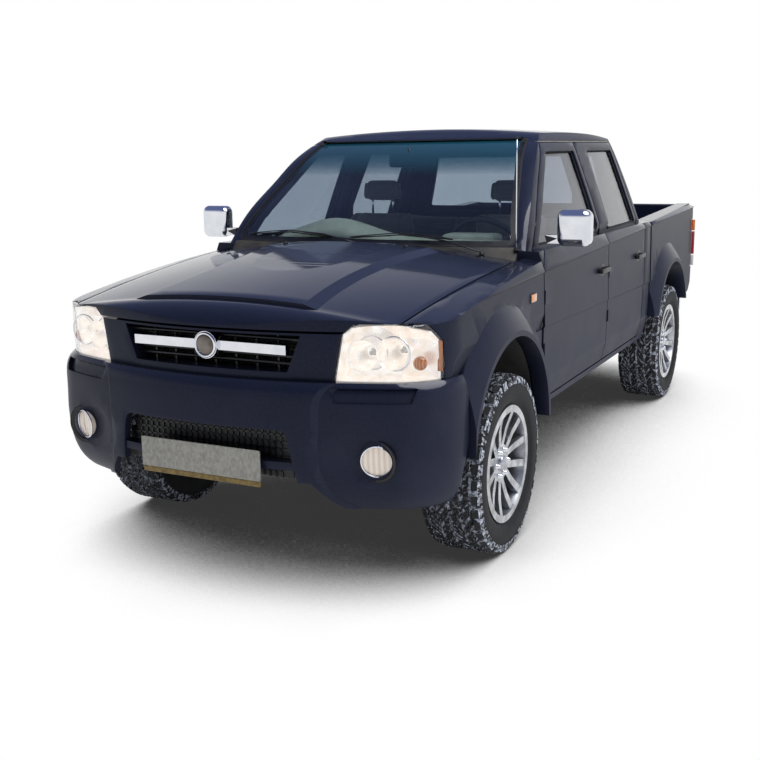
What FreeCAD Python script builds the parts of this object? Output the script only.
import FreeCAD
import Part
import math
import os
from functools import lru_cache
from FreeCAD import Vector

# A double-cab pickup truck. Lengths are in millimetres.
# X runs across the vehicle with +X on its left side, Y runs along it with the
# nose at -Y, and Z is up from the ground. Stations are measured rearwards from
# the foremost point of the front bumper.

OVERALL_LENGTH = 4800.0
FRONT_OVERHANG = 850.0
WHEELBASE = 2980.0
BODY_HALF_WIDTH = 856.0
ROOF_HEIGHT = 1692.0
OVERRUN = 40.0

# Clearances
PANEL_GAP = 8.0
SEAT_GAP = 0.3
PIVOT_GAP = 0.3
MOVING_GAP = 7.0

# Body side section, from the underside of the body up to the belt line.
# Each level is a height above the ground at the front axle, the rise towards
# the rear in millimetres a millimetre, and how far the side stands inside the
# half width of the body.
UNDERSIDE_HEIGHT = 300.0
SILL_BOTTOM_HEIGHT = 462.0
LOWER_SIDE_HEIGHT = 600.0
LOWER_CREASE_HEIGHT = 836.0
LOWER_CREASE_STEP = 7.0
LOWER_CREASE_SLOPE_SHARE = -0.018
SHOULDER_HEIGHT = 1048.0
SHOULDER_STEP = 8.0
SHOULDER_SLOPE_SHARE = 0.031
BELT_HEIGHT = 1150.0
BELT_SLOPE_SHARE = 0.010
HULL_TOP_HEIGHT = 1260.0
UNDERSIDE_TUCK = 62.0
SILL_TUCK = 38.0
LOWER_SIDE_TUCK = 8.0
LOWER_CREASE_TUCK = 5.0
SHOULDER_TUCK = 7.0
SHOULDER_TOP_TUCK = 1.0
BELT_TUCK = 34.0
HULL_TOP_TUCK = 66.0
NOSE_STATION = 62.0
NOSE_PLAN_RADIUS = 1900.0
NOSE_CORNER_RADIUS = 250.0

# Bonnet
BONNET_FRONT_HEIGHT = 985.0
BONNET_NOSE_HEIGHT = 1062.0
BONNET_NOSE_STATION = 190.0
BONNET_FRONT_STATION = 60.0
BONNET_NOSE_BULGE = 16.0
BONNET_REAR_STATION = 1205.0
COWL_HEIGHT = 1196.0
COWL_STATION = 1400.0
BONNET_BULGE = 18.0
BONNET_CROWN_RADIUS = 4600.0
BONNET_HALF_WIDTH_FRONT = 700.0
BONNET_HALF_WIDTH_REAR = 752.0
BONNET_THICKNESS = 26.0
BONNET_RISE = 13.0
BONNET_RISE_FRONT_HALF_WIDTH = 372.0
BONNET_RISE_REAR_HALF_WIDTH = 492.0
BONNET_RISE_SLOPE_SHARE = 0.32
BONNET_RISE_REAR_STATION = 1165.0
COWL_RECESS = 16.0
FENDER_THICKNESS = 14.0

# Cab
CAB_FRONT_STATION = 1340.0
CAB_REAR_STATION = 3340.0
WINDSCREEN_PLAN_RADIUS = 3000.0
CAB_REAR_CORNER_RADIUS = 90.0
ROOF_CROWN_RADIUS = 6400.0
ROOF_ARCH_RADIUS = 10500.0
ROOF_MIDDLE_STATION = 2430.0
ROOF_HALF_LENGTH = 1300.0
ROOF_REAR_EDGE_STATION = 3205.0
ROOF_REAR_EDGE_DEPTH = 110.0
ROOF_REAR_EDGE_DROP = 108.0
ROOF_REAR_EDGE_BULGE = 22.0
CAB_MIDDLE_STATION = 2350.0
CAB_REAR_TAPER = 15.0
PILLAR_THICKNESS = 46.0
INNER_FRAME_THICKNESS = 30.0
APERTURE_BORDER = 40.0
ROOF_SPLIT_HEIGHT = 1620.0
GLASS_THICKNESS = 5.0
FLOOR_HEIGHT = 545.0
FLOOR_THICKNESS = 24.0
FIREWALL_STATION = 1352.0
BACK_WALL_THICKNESS = 50.0

# Doors
DOOR_THICKNESS = 108.0
DOOR_FLANGE_THICKNESS = 12.0
DOOR_STEP = 14.0
FRONT_DOOR_FRONT_STATION = 1345.0
DOOR_SPLIT_STATION = 2391.0
REAR_DOOR_REAR_STATION = 3180.0
DOOR_BOTTOM_HEIGHT = 500.0
DOOR_TOP_HEIGHT = 1612.0
WINDOW_BORDER = 42.0
WINDOW_SILL_RISE = 12.0
HINGE_RADIUS = 4.0
HINGE_LENGTH = 60.0
HINGE_INSET = 4.0
HINGE_SETBACK = 6.0
HINGE_HEIGHTS = (700.0, 930.0)

# Load bed
CAB_BED_GAP = 30.0
BED_REAR_STATION = 4650.0
BED_RAIL_HEIGHT = 1150.0
BED_RAIL_REAR_HEIGHT = 1196.0
BED_RAIL_ROUNDING = 12.0
BED_TAIL_ROUNDING = 60.0
BED_RIB_HEIGHT = 8.0
BED_RIB_WIDTH = 56.0
BED_RIB_PITCH = 104.0
BED_RIB_COUNT = 11
HEADBOARD_DROP = 12.0
BED_FLOOR_HEIGHT = 668.0
BED_FLOOR_THICKNESS = 30.0
BED_SIDE_THICKNESS = 84.0
BED_SKIRT_HEIGHT = 588.0
TAILGATE_THICKNESS = 48.0
TAILGATE_AXIS_DROP = 16.0
GATE_PANEL_BORDER = 96.0
GATE_PANEL_TOP_BORDER = 150.0
GATE_PANEL_DEPTH = 9.0
GATE_HANDLE_HALF_WIDTH = 105.0
GATE_HANDLE_HEIGHT = 62.0
GATE_HANDLE_DEPTH = 16.0
GATE_HANDLE_DROP = 44.0
GATE_ROUNDING = 10.0

# Wheels
TYRE_RADIUS = 360.0
TYRE_WIDTH = 250.0
RIM_RADIUS = 218.0
RIM_LIP_RADIUS = 236.0
WHEEL_OUTER_FACE = 888.0
RIM_BARREL_THICKNESS = 10.0
HUB_RADIUS = 76.0
HUB_BORE_RADIUS = 32.0
HUB_DEPTH = 55.0
HUB_CAP_THICKNESS = 10.0
RIM_EDGE_INSET = 14.0
SPOKE_PAIRS = 6
SPOKE_THICKNESS = 26.0
SPOKE_HUB_SPREAD = 12.0
SPOKE_RIM_SPREAD = 4.2
SPOKE_HUB_ANGLE = 9.0
SPOKE_RIM_ANGLE = 16.0
DISH_DEPTH = 30.0
DISH_BULGE = 8.0
TYRE_SHOULDER = 26.0
TYRE_BEAD_INSET = 24.0

# Wheel arches
ARCH_RADIUS = 425.0
ARCH_CENTRE_HEIGHT = 448.0
FLARE_RADIUS = 545.0
FLARE_BULGE_RADIUS = 482.0
FLARE_BULGE_HALF_WIDTH = 888.0
FLARE_HALF_WIDTH = 905.0
FLARE_LIP = 22.0
LINER_THICKNESS = 12.0
APRON_HALF_WIDTH = 430.0
TUB_HALF_WIDTH = 590.0

# Front suspension
KINGPIN_HALF_WIDTH = 700.0
KINGPIN_RADIUS = 10.0
ARM_EYE_RADIUS = 26.0
ARM_BRACKET_THICKNESS = 30.0
ARM_ROOT_LENGTH = 40.0
STUB_RADIUS = 31.7
BALL_JOINT_SPREAD = 130.0
ARM_HALF_SPREAD = 110.0
ARM_THICKNESS = 26.0
DISC_RADIUS = 150.0
DISC_THICKNESS = 24.0
DISC_HALF_WIDTH = 742.0

# Frame
RAIL_CENTRE = 395.0
RAIL_WIDTH = 70.0
RAIL_HEIGHT = 120.0
RAIL_FRONT_HEIGHT = 430.0
RAIL_MIDDLE_HEIGHT = 396.0
RAIL_REAR_HEIGHT = 500.0
CROSSMEMBER_WIDTH = 80.0
AXLE_TUBE_RADIUS = 40.0
DIFF_RADIUS = 135.0

# Front bumper
BUMPER_TOP_HEIGHT = 806.0
BUMPER_HALF_WIDTH = 878.0
BUMPER_WALL = 34.0
BUMPER_END_SETBACK = 14.0
BUMPER_STEP_HALF_WIDTH = 430.0
BUMPER_STEP_STATION = 45.0
BUMPER_STEP_SPREAD_SHARE = 1.1
LAMP_SLOT_DEPTH = 16.0
LAMP_SLOT_BOTTOM_HEIGHT = 741.0
LAMP_SLOT_TOP_HEIGHT = 790.0
LAMP_SLOT_INNER = 488.0
LAMP_SLOT_OUTER = 776.0
LAMP_SLOT_LEAN = 22.0
FOG_BEZEL_RADIUS = 96.0
FOG_BEZEL_FLOOR_RADIUS = 66.0
FOG_BEZEL_DEPTH = 16.0
BUMPER_BOTTOM_HEIGHT = 345.0
BUMPER_PLAN_RADIUS = 1900.0
BUMPER_CORNER_RADIUS = 250.0
INTAKE_HALF_WIDTH_TOP = 350.0
INTAKE_HALF_WIDTH_BOTTOM = 392.0
INTAKE_TOP_HEIGHT = 640.0
INTAKE_CORNER_RADIUS = 36.0
FOG_LAMP_PLACE = 652.0
FOG_LAMP_HEIGHT = 538.0
FOG_LAMP_RADIUS = 52.0
FOG_LAMP_DEPTH = 44.0
FOG_LAMP_STATION = 138.0
FOG_LAMP_RECESS = 8.0
FOG_LAMP_REAR_STATION = 200.0
PLATE_WIDTH = 520.0
PLATE_HEIGHT = 112.0
PLATE_CENTRE_HEIGHT = 509.0
PLATE_THICKNESS = 6.0
PLATE_STATION = 2.0
PLATE_BAR_HEIGHT = 30.0
PLATE_BAR_DEPTH = 84.0

# Grille and lamps
GRILLE_TOP_HEIGHT = 982.0
GRILLE_OPENING_HALF_WIDTH_TOP = 382.0
GRILLE_OPENING_HALF_WIDTH_BOTTOM = 330.0
GRILLE_OPENING_TOP_HEIGHT = 966.0
GRILLE_OPENING_BOTTOM_HEIGHT = 835.0
GRILLE_DEPTH = 60.0
SLAT_STATION = 122.0
SLAT_DEPTH = 26.0
SLAT_HEIGHT = 13.0
SLAT_HEIGHTS = (858.0, 884.0, 945.0)
SLAT_RIB_COUNT = 7
SLAT_RIB_WIDTH = 8.0
SLAT_RIB_PITCH = 90.0
EMBLEM_PROUD = 12.0
BAR_HEIGHT = 34.0
BAR_CENTRE_HEIGHT = 913.0
EMBLEM_RADIUS = 50.0
LAMP_BOTTOM_HEIGHT = 812.0
LAMP_TOP_HEIGHT = 1005.0
LAMP_INNER = 498.0
LAMP_SHOULDER_INNER = 527.0
LAMP_SHOULDER_HEIGHT = 972.0
LAMP_TOP_INNER = 566.0
LAMP_TOP_REAR_STATION = 262.0
LAMP_TAIL_HEIGHT = 945.0
LAMP_TAIL_LEAN = 8.0
LAMP_REAR_STATION = 318.0
LAMP_BOWL_RADIUS = 60.0
LAMP_BOWL_WALL = 4.0
LAMP_BOWL_FLOOR_RADIUS = 24.0
HOUSING_WALL = 8.0
MAIN_BOWL_PLACE = 590.0
MAIN_BOWL_HEIGHT = 898.0
DIP_BOWL_PLACE = 688.0
DIP_BOWL_HEIGHT = 905.0
LAMP_DEPTH = 110.0
LENS_THICKNESS = 8.0

# Rear bumper
REAR_BUMPER_HALF_WIDTH = 780.0
REAR_BUMPER_TOP_HEIGHT = 590.0
REAR_BUMPER_BOTTOM_HEIGHT = 440.0
REAR_BUMPER_LIP = 34.0
REAR_BUMPER_CORNER = 90.0
STEP_HALF_WIDTH = 270.0
STEP_DROP = 52.0
STEP_DEPTH = 86.0
TOW_HOLE_RADIUS = 11.0
TOW_HOLE_INSET = 46.0
TAIL_LAMP_HEIGHT = 330.0
TAIL_LAMP_WIDTH = 74.0

# Inside
SEAT_PLACE = 370.0
SEAT_WIDTH = 500.0
SEAT_THICKNESS = 150.0
FRONT_SEAT_STATION = 2070.0
REAR_SEAT_STATION = 2760.0
SEAT_HEIGHT = 860.0
SEAT_BACK_HEIGHT = 1290.0
HEADREST_HEIGHT = 1440.0
DASH_TOP_HEIGHT = 1150.0
DASH_REAR_STATION = 1800.0
STEERING_WHEEL_RADIUS = 188.0
STEERING_WHEEL_STATION = 1905.0
STEERING_WHEEL_HEIGHT = 1085.0
STEERING_TILT_DEGREES = 25.0
STEERING_GRIP_RADIUS = 15.0
COLUMN_RADIUS = 34.0

# Engine
ENGINE_HALF_WIDTH = 270.0
ENGINE_FRONT_STATION = 480.0
ENGINE_REAR_STATION = 1200.0
ENGINE_BOTTOM_HEIGHT = 420.0
ENGINE_TOP_HEIGHT = 940.0

# Mirrors
MIRROR_INNER = 858.0
MIRROR_OUTER = 1008.0
MIRROR_STATION = 1500.0
MIRROR_DEPTH = 90.0
MIRROR_BOTTOM_HEIGHT = 1168.0
MIRROR_TOP_HEIGHT = 1326.0
MIRROR_ROUNDING = 34.0
MIRROR_BORDER = 12.0
MIRROR_GLASS_RECESS = 6.0
MIRROR_FOOT_LENGTH = 56.0
MIRROR_FOOT_THICKNESS = 24.0
MIRROR_FOOT_REACH = 158.0

FRONT_AXLE = FRONT_OVERHANG
REAR_AXLE = FRONT_OVERHANG + WHEELBASE
WHEEL_CENTRE_HEIGHT = TYRE_RADIUS
SIDES = (1, -1)
FULL_TURN = 360.0
ACROSS = Vector(1, 0, 0)
ALONG = Vector(0, 1, 0)
UP = Vector(0, 0, 1)
parts = {}


def at(x, station, z):
    """A point given by its place across, its station and its height."""
    return Vector(x, station - OVERALL_LENGTH / 2, z)


def line(start, end):
    return Part.LineSegment(start, end).toShape()


def arc(start, middle, end):
    return Part.Arc(start, middle, end).toShape()


def polygon(points):
    return Part.Face(Part.makePolygon(points + points[:1]))


def side_prism(outline, x_from, x_to):
    """A prism across the vehicle from an outline of (station, height)."""
    face = polygon([at(x_from, station, z) for station, z in outline])
    return face.extrude(Vector(x_to - x_from, 0, 0))


def front_prism(outline, station_from, station_to):
    """A prism along the vehicle from an outline of (x, height)."""
    face = polygon([at(x, station_from, z) for x, z in outline])
    return face.extrude(Vector(0, station_to - station_from, 0))


def plan_prism(outline, z_from, z_to):
    """An upright prism from an outline of (x, station)."""
    face = polygon([at(x, station, z_from) for x, station in outline])
    return face.extrude(Vector(0, 0, z_to - z_from))


def block(x_from, x_to, station_from, station_to, z_from, z_to):
    corner = at(x_from, station_from, z_from)
    size = (x_to - x_from, station_to - station_from, z_to - z_from)
    return Part.makeBox(*size, corner)


def drum(x_from, x_to, station, z, radius):
    """A cylinder that lies across the vehicle."""
    return Part.makeCylinder(radius, x_to - x_from, at(x_from, station, z), ACROSS)


def mirrored(shape):
    return shape.mirror(Vector(0, 0, 0), ACROSS)


def on_side(shape, side):
    return shape if side > 0 else mirrored(shape)


def rounded(shape, radius, choose):
    return shape.makeFillet(radius, [edge for edge in shape.Edges if choose(edge)])


def runs_along(edge, direction):
    ends = edge.Vertexes
    if len(ends) < 2:
        return False
    way = ends[1].Point - ends[0].Point
    return way.Length > 0 and abs(way.normalize().dot(direction)) > 0.999


def joined(shapes):
    return Part.makeCompound(shapes)


def largest(shape):
    return max(shape.Solids, key=lambda solid: solid.Volume)


def carved(shape, cutters):
    """A panel after its cuts, without the scraps that they leave."""
    for cutter in cutters:
        shape = largest(shape.cut(cutter))
    return shape


def plan_wire(height, slope, nose, plan_radius, half_width, corner_radius, rear):
    """A closed plan outline: bowed nose, round corners and straight sides."""
    def point(x, station):
        return at(x, station, height + slope * (station - FRONT_AXLE))

    reach = plan_radius - corner_radius
    inner = half_width - corner_radius
    corner = nose + plan_radius - math.sqrt(reach ** 2 - inner ** 2)
    stretch = plan_radius / reach
    join_x = inner * stretch
    join_station = nose + plan_radius + (corner - nose - plan_radius) * stretch
    angle = math.atan2(join_station - corner, join_x - inner) / 2
    middle_x = inner + corner_radius * math.cos(angle)
    middle_station = corner + corner_radius * math.sin(angle)
    return Part.Wire([
        line(point(-half_width, rear), point(-half_width, corner)),
        arc(point(-half_width, corner), point(-middle_x, middle_station), point(-join_x, join_station)),
        arc(point(-join_x, join_station), point(0, nose), point(join_x, join_station)),
        arc(point(join_x, join_station), point(middle_x, middle_station), point(half_width, corner)),
        line(point(half_width, corner), point(half_width, rear)),
        line(point(half_width, rear), point(-half_width, rear)),
    ])


SIDE_LEVELS = (
    (UNDERSIDE_HEIGHT, 0, UNDERSIDE_TUCK),
    (SILL_BOTTOM_HEIGHT, 0, SILL_TUCK),
    (LOWER_SIDE_HEIGHT, 0, LOWER_SIDE_TUCK),
    (LOWER_CREASE_HEIGHT, LOWER_CREASE_SLOPE_SHARE, LOWER_CREASE_TUCK),
    (LOWER_CREASE_HEIGHT + LOWER_CREASE_STEP, LOWER_CREASE_SLOPE_SHARE, 0),
    (SHOULDER_HEIGHT, SHOULDER_SLOPE_SHARE, SHOULDER_TUCK),
    (SHOULDER_HEIGHT + SHOULDER_STEP, SHOULDER_SLOPE_SHARE, SHOULDER_TOP_TUCK),
    (BELT_HEIGHT, BELT_SLOPE_SHARE, BELT_TUCK),
    (HULL_TOP_HEIGHT, BELT_SLOPE_SHARE, HULL_TOP_TUCK),
)


@lru_cache(maxsize=None)
def body_sides(inset):
    """The whole lower body as one solid, its skin moved in by an inset.

    An inset body runs on past the outer one at its open ends, so that it cuts a clean wall.
    """
    excess = OVERRUN if inset else 0
    first, last = SIDE_LEVELS[0], SIDE_LEVELS[-1]
    levels = SIDE_LEVELS
    if excess:
        levels = ((first[0] - excess,) + first[1:],) + levels + ((last[0] + excess,) + last[1:],)
    wires = []
    for height, slope, tuck in levels:
        wires.append(plan_wire(height, slope, NOSE_STATION + inset, NOSE_PLAN_RADIUS,
                               BODY_HALF_WIDTH - tuck - inset, NOSE_CORNER_RADIUS,
                               BED_REAR_STATION + excess))
    return Part.makeLoft(wires, True, True)


def crowned(edges, crown_height, crown_radius, half_width):
    """A block under a side profile that is swept over a crown."""
    face = Part.Face(Part.Wire(edges))
    half_angle = math.degrees(math.asin(half_width / crown_radius))
    centre = at(0, 0, crown_height - crown_radius)
    face.rotate(centre, ALONG, -half_angle)
    return face.revolve(centre, ALONG, 2 * half_angle)


@lru_cache(maxsize=None)
def bonnet_block(inset):
    """Everything under the bonnet's outer skin, down to the underside."""
    front = BONNET_FRONT_STATION + inset
    nose = BONNET_NOSE_STATION
    low = UNDERSIDE_HEIGHT - OVERRUN
    start = at(0, front, BONNET_FRONT_HEIGHT - inset)
    knee = at(0, nose, BONNET_NOSE_HEIGHT - inset)
    rear = at(0, COWL_STATION, COWL_HEIGHT - inset)
    knee_middle = (start + knee) / 2 + Vector(0, -BONNET_NOSE_BULGE, BONNET_NOSE_BULGE)
    top_middle = (knee + rear) / 2 + Vector(0, 0, BONNET_BULGE)
    low_rear = at(0, COWL_STATION, low)
    low_front = at(0, front, low)
    edges = [line(low_front, start), arc(start, knee_middle, knee), arc(knee, top_middle, rear),
             line(rear, low_rear), line(low_rear, low_front)]
    return crowned(edges, COWL_HEIGHT, BONNET_CROWN_RADIUS, BODY_HALF_WIDTH + OVERRUN)


# Cab glasshouse, from below the belt up through the roof. Each level is a
# height, the station of the windscreen's middle, the half width at the front
# pillar, the half width at the middle pillar and the station of the back wall.
GLASSHOUSE_LEVELS = (
    (1100.0, 1205.0, 772.0, 834.0, 3344.0),
    (1160.0, 1258.0, 759.0, 812.0, 3342.0),
    (1300.0, 1392.0, 732.0, 762.0, 3336.0),
    (1440.0, 1584.0, 686.0, 709.0, 3322.0),
    (1560.0, 1756.0, 645.0, 662.0, 3300.0),
    (1640.0, 1925.0, 600.0, 625.0, 3280.0),
    (1720.0, 2080.0, 550.0, 585.0, 3255.0),
)


def glasshouse_wire(height, nose, front_half, middle_half, rear, inset):
    """One level of the cab: bowed windscreen, bowed sides, round rear corners and a flat back."""
    half = front_half - inset
    middle = middle_half - inset
    rear_half = middle_half - CAB_REAR_TAPER - inset
    front = nose + inset
    back = rear - inset
    corner = CAB_REAR_CORNER_RADIUS - inset
    diagonal = corner * (1 - math.sqrt(0.5))
    drop = WINDSCREEN_PLAN_RADIUS - math.sqrt(WINDSCREEN_PLAN_RADIUS ** 2 - half ** 2)
    edges = [arc(at(-half, front + drop, height), at(0, front, height), at(half, front + drop, height))]
    for side in SIDES:
        edges.append(arc(at(side * half, front + drop, height), at(side * middle, CAB_MIDDLE_STATION, height),
                         at(side * rear_half, back - corner, height)))
        edges.append(arc(at(side * rear_half, back - corner, height),
                         at(side * (rear_half - diagonal), back - diagonal, height),
                         at(side * (rear_half - corner), back, height)))
    edges.append(line(at(rear_half - corner, back, height), at(corner - rear_half, back, height)))
    return Part.Wire(Part.__sortEdges__(edges))


@lru_cache(maxsize=None)
def glasshouse(inset):
    """The cab above the belt line as one solid under the roof's crown."""
    wires = [glasshouse_wire(*level, inset) for level in GLASSHOUSE_LEVELS]
    body = Part.makeLoft(wires, True, False)
    top = ROOF_HEIGHT - inset
    low = GLASSHOUSE_LEVELS[0][0] - OVERRUN

    def roof_point(station):
        reach = station - ROOF_MIDDLE_STATION
        return at(0, station, top - ROOF_ARCH_RADIUS + math.sqrt(ROOF_ARCH_RADIUS ** 2 - reach ** 2))

    front = roof_point(ROOF_MIDDLE_STATION - ROOF_HALF_LENGTH)
    edge = roof_point(ROOF_REAR_EDGE_STATION)
    edge_low = edge + Vector(0, ROOF_REAR_EDGE_DEPTH, -ROOF_REAR_EDGE_DROP)
    edge_middle = (edge + edge_low) / 2 + Vector(0, ROOF_REAR_EDGE_BULGE, ROOF_REAR_EDGE_BULGE)
    rear_foot = at(0, CAB_REAR_STATION + ROOF_REAR_EDGE_DEPTH, low)
    front_foot = at(0, ROOF_MIDDLE_STATION - ROOF_HALF_LENGTH, low)
    edges = [arc(front, roof_point(ROOF_MIDDLE_STATION), edge), arc(edge, edge_middle, edge_low),
             line(edge_low, rear_foot), line(rear_foot, front_foot), line(front_foot, front)]
    return body.common(crowned(edges, top, ROOF_CROWN_RADIUS, BODY_HALF_WIDTH))


hull = body_sides(0)
house = glasshouse(0)

# Side outlines of the doors and their windows, as (station, height)
BELT_LINE = BELT_HEIGHT + 5.0
PILLAR_FOOT_STATION = 1428.0
PILLAR_BEND_STATION = 1590.0
PILLAR_BEND_HEIGHT = 1326.0
PILLAR_HEAD_STATION = 1940.0
DOOR_FOOT_DROP = 65.0
DOOR_SPLIT_LEAN = 19.0
REAR_DOOR_HEAD_STATION = 3182.0
REAR_DOOR_BELT_STATION = 3192.0
REAR_WINDOW_FOOT_SETBACK = 122.0
REAR_WINDOW_HEAD_SETBACK = 169.0

FRONT_DOOR_OUTLINE = (
    (FRONT_DOOR_FRONT_STATION, DOOR_BOTTOM_HEIGHT),
    (FRONT_DOOR_FRONT_STATION, BELT_LINE - DOOR_FOOT_DROP),
    (PILLAR_FOOT_STATION, BELT_LINE),
    (PILLAR_BEND_STATION, PILLAR_BEND_HEIGHT),
    (PILLAR_HEAD_STATION, DOOR_TOP_HEIGHT),
    (DOOR_SPLIT_STATION + DOOR_SPLIT_LEAN, DOOR_TOP_HEIGHT),
    (DOOR_SPLIT_STATION, BELT_LINE),
    (DOOR_SPLIT_STATION, DOOR_BOTTOM_HEIGHT),
)
REAR_DOOR_FRONT_STATION = DOOR_SPLIT_STATION + PANEL_GAP
REAR_DOOR_TAIL = (
    (REAR_DOOR_HEAD_STATION, DOOR_TOP_HEIGHT),
    (REAR_DOOR_BELT_STATION, BELT_LINE),
    (REAR_DOOR_REAR_STATION, DOOR_BOTTOM_HEIGHT),
)
REAR_DOOR_OUTLINE = (
    (REAR_DOOR_FRONT_STATION, DOOR_BOTTOM_HEIGHT),
    (REAR_DOOR_FRONT_STATION, BELT_LINE),
    (REAR_DOOR_FRONT_STATION + DOOR_SPLIT_LEAN, DOOR_TOP_HEIGHT),
) + REAR_DOOR_TAIL
REAR_WINDOW_OUTLINE = (
    (REAR_DOOR_FRONT_STATION + REAR_WINDOW_FOOT_SETBACK, DOOR_BOTTOM_HEIGHT),
    (REAR_DOOR_FRONT_STATION + REAR_WINDOW_FOOT_SETBACK, BELT_LINE),
    (REAR_DOOR_FRONT_STATION + REAR_WINDOW_HEAD_SETBACK, DOOR_TOP_HEIGHT),
) + REAR_DOOR_TAIL


def offset_outline(outline, distance, x):
    """A side outline moved in or out by a distance, as a wire at one x."""
    wire = Part.makePolygon([at(x, s, z) for s, z in outline + outline[:1]])
    if distance == 0:
        return wire
    return wire.makeOffset2D(distance, 2)


def outline_prism(outline, distance, x_from, x_to):
    face = Part.Face(offset_outline(outline, distance, x_from))
    return face.extrude(Vector(x_to - x_from, 0, 0))


INNER_X = 380.0
OUTER_X = FLARE_HALF_WIDTH + OVERRUN
below_belt = block(-OUTER_X, OUTER_X, 0, OVERALL_LENGTH, UNDERSIDE_HEIGHT, BELT_LINE)
above_belt = block(-OUTER_X, OUTER_X, 0, OVERALL_LENGTH, BELT_LINE, ROOF_HEIGHT + OVERRUN)


def wall(outer, inner):
    return outer.cut(inner)


lower_skin = wall(hull, body_sides(DOOR_FLANGE_THICKNESS)).common(below_belt)
upper_skin = wall(house, glasshouse(DOOR_FLANGE_THICKNESS)).common(above_belt)
lower_wall = wall(hull, body_sides(DOOR_THICKNESS)).common(below_belt)
upper_wall = wall(house, glasshouse(PILLAR_THICKNESS)).common(above_belt)


def door(outline, glass_outline, side):
    """One door: a flanged skin over a stepped inner shell, with hinge knuckles."""
    whole = outline_prism(outline, 0, INNER_X, OUTER_X)
    stepped = outline_prism(outline, -DOOR_STEP, INNER_X, OUTER_X)
    shell = lower_skin.common(whole)
    for piece in (upper_skin.common(whole), lower_wall.common(stepped), upper_wall.common(stepped)):
        shell = shell.fuse(piece)
    shell = shell.cut(window_cut(glass_outline))
    axis = hinge_axis(outline)
    for height in HINGE_HEIGHTS:
        shell = shell.fuse(Part.makeCylinder(HINGE_RADIUS, HINGE_LENGTH, at(*axis, height)))
    return on_side(largest(shell.removeSplitter()), side)


def hinge_axis(outline):
    """A door's upright hinge axis, just inside the leading corner of its skin."""
    return BODY_HALF_WIDTH - HINGE_INSET, outline[0][0] + HINGE_SETBACK


def window_outline(outline):
    """The part of a door outline above the belt, set in by its border."""
    raised = tuple((s, max(z, BELT_LINE - WINDOW_BORDER + WINDOW_SILL_RISE)) for s, z in outline)
    kept = []
    for point in raised:
        if point not in kept:
            kept.append(point)
    return tuple(kept)


def window_cut(outline):
    return outline_prism(window_outline(outline), -WINDOW_BORDER, INNER_X, OUTER_X)



for side, name in zip(SIDES, ("left", "right")):
    parts["front_door_" + name] = door(FRONT_DOOR_OUTLINE, FRONT_DOOR_OUTLINE, side)
    parts["rear_door_" + name] = door(REAR_DOOR_OUTLINE, REAR_WINDOW_OUTLINE, side)


def door_glass(outline, side):
    """A side window that fills its door's opening, flush with the frame's middle."""
    depth = PILLAR_THICKNESS / 3
    pane = wall(glasshouse(depth), glasshouse(depth + GLASS_THICKNESS)).common(above_belt)
    cut = outline_prism(window_outline(outline), -WINDOW_BORDER - SEAT_GAP, INNER_X, OUTER_X)
    return on_side(pane.common(cut), side)


for side, name in zip(SIDES, ("left", "right")):
    parts["front_window_" + name] = door_glass(FRONT_DOOR_OUTLINE, side)
    parts["rear_window_" + name] = door_glass(REAR_WINDOW_OUTLINE, side)

# Windscreen and back window, as outlines of (x, height)
WINDSCREEN_FOOT_HALF_WIDTH = 728.0
WINDSCREEN_HEAD_HALF_WIDTH = 560.0
WINDSCREEN_FOOT_HEIGHT = 1170.0
WINDSCREEN_HEAD_HEIGHT = 1632.0
BACK_WINDOW_FOOT_HALF_WIDTH = 590.0
BACK_WINDOW_HEAD_HALF_WIDTH = 510.0
BACK_WINDOW_FOOT_HEIGHT = 1215.0
BACK_WINDOW_HEAD_HEIGHT = 1560.0
GLASS_CORNER_RADIUS = 34.0
BACK_GLASS_STATION = 2900.0


def four_corners(foot_half, head_half, foot, head):
    return ((-foot_half, foot), (foot_half, foot), (head_half, head), (-head_half, head))


def glass_prism(corners, inset, station_from, station_to):
    wire = Part.makePolygon([at(x, station_from, z) for x, z in corners + corners[:1]])
    if inset:
        wire = wire.makeOffset2D(-inset, 2)
    solid = Part.Face(wire).extrude(Vector(0, station_to - station_from, 0))
    return rounded(solid, GLASS_CORNER_RADIUS - inset, lambda edge: runs_along(edge, ALONG))


windscreen_corners = four_corners(WINDSCREEN_FOOT_HALF_WIDTH, WINDSCREEN_HEAD_HALF_WIDTH,
                                  WINDSCREEN_FOOT_HEIGHT, WINDSCREEN_HEAD_HEIGHT)
back_window_corners = four_corners(BACK_WINDOW_FOOT_HALF_WIDTH, BACK_WINDOW_HEAD_HALF_WIDTH,
                                   BACK_WINDOW_FOOT_HEIGHT, BACK_WINDOW_HEAD_HEIGHT)
front_span = (NOSE_STATION, ROOF_MIDDLE_STATION)
back_span = (BACK_GLASS_STATION, OVERALL_LENGTH)
windscreen_cut = glass_prism(windscreen_corners, 0, *front_span)
back_window_cut = glass_prism(back_window_corners, 0, *back_span)
GLASS_RECESS = 4.0
outer_pane = wall(glasshouse(GLASS_RECESS), glasshouse(GLASS_RECESS + GLASS_THICKNESS))
parts["windscreen"] = outer_pane.common(glass_prism(windscreen_corners, SEAT_GAP, *front_span))
parts["back_window"] = outer_pane.common(glass_prism(back_window_corners, SEAT_GAP, *back_span))

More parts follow.
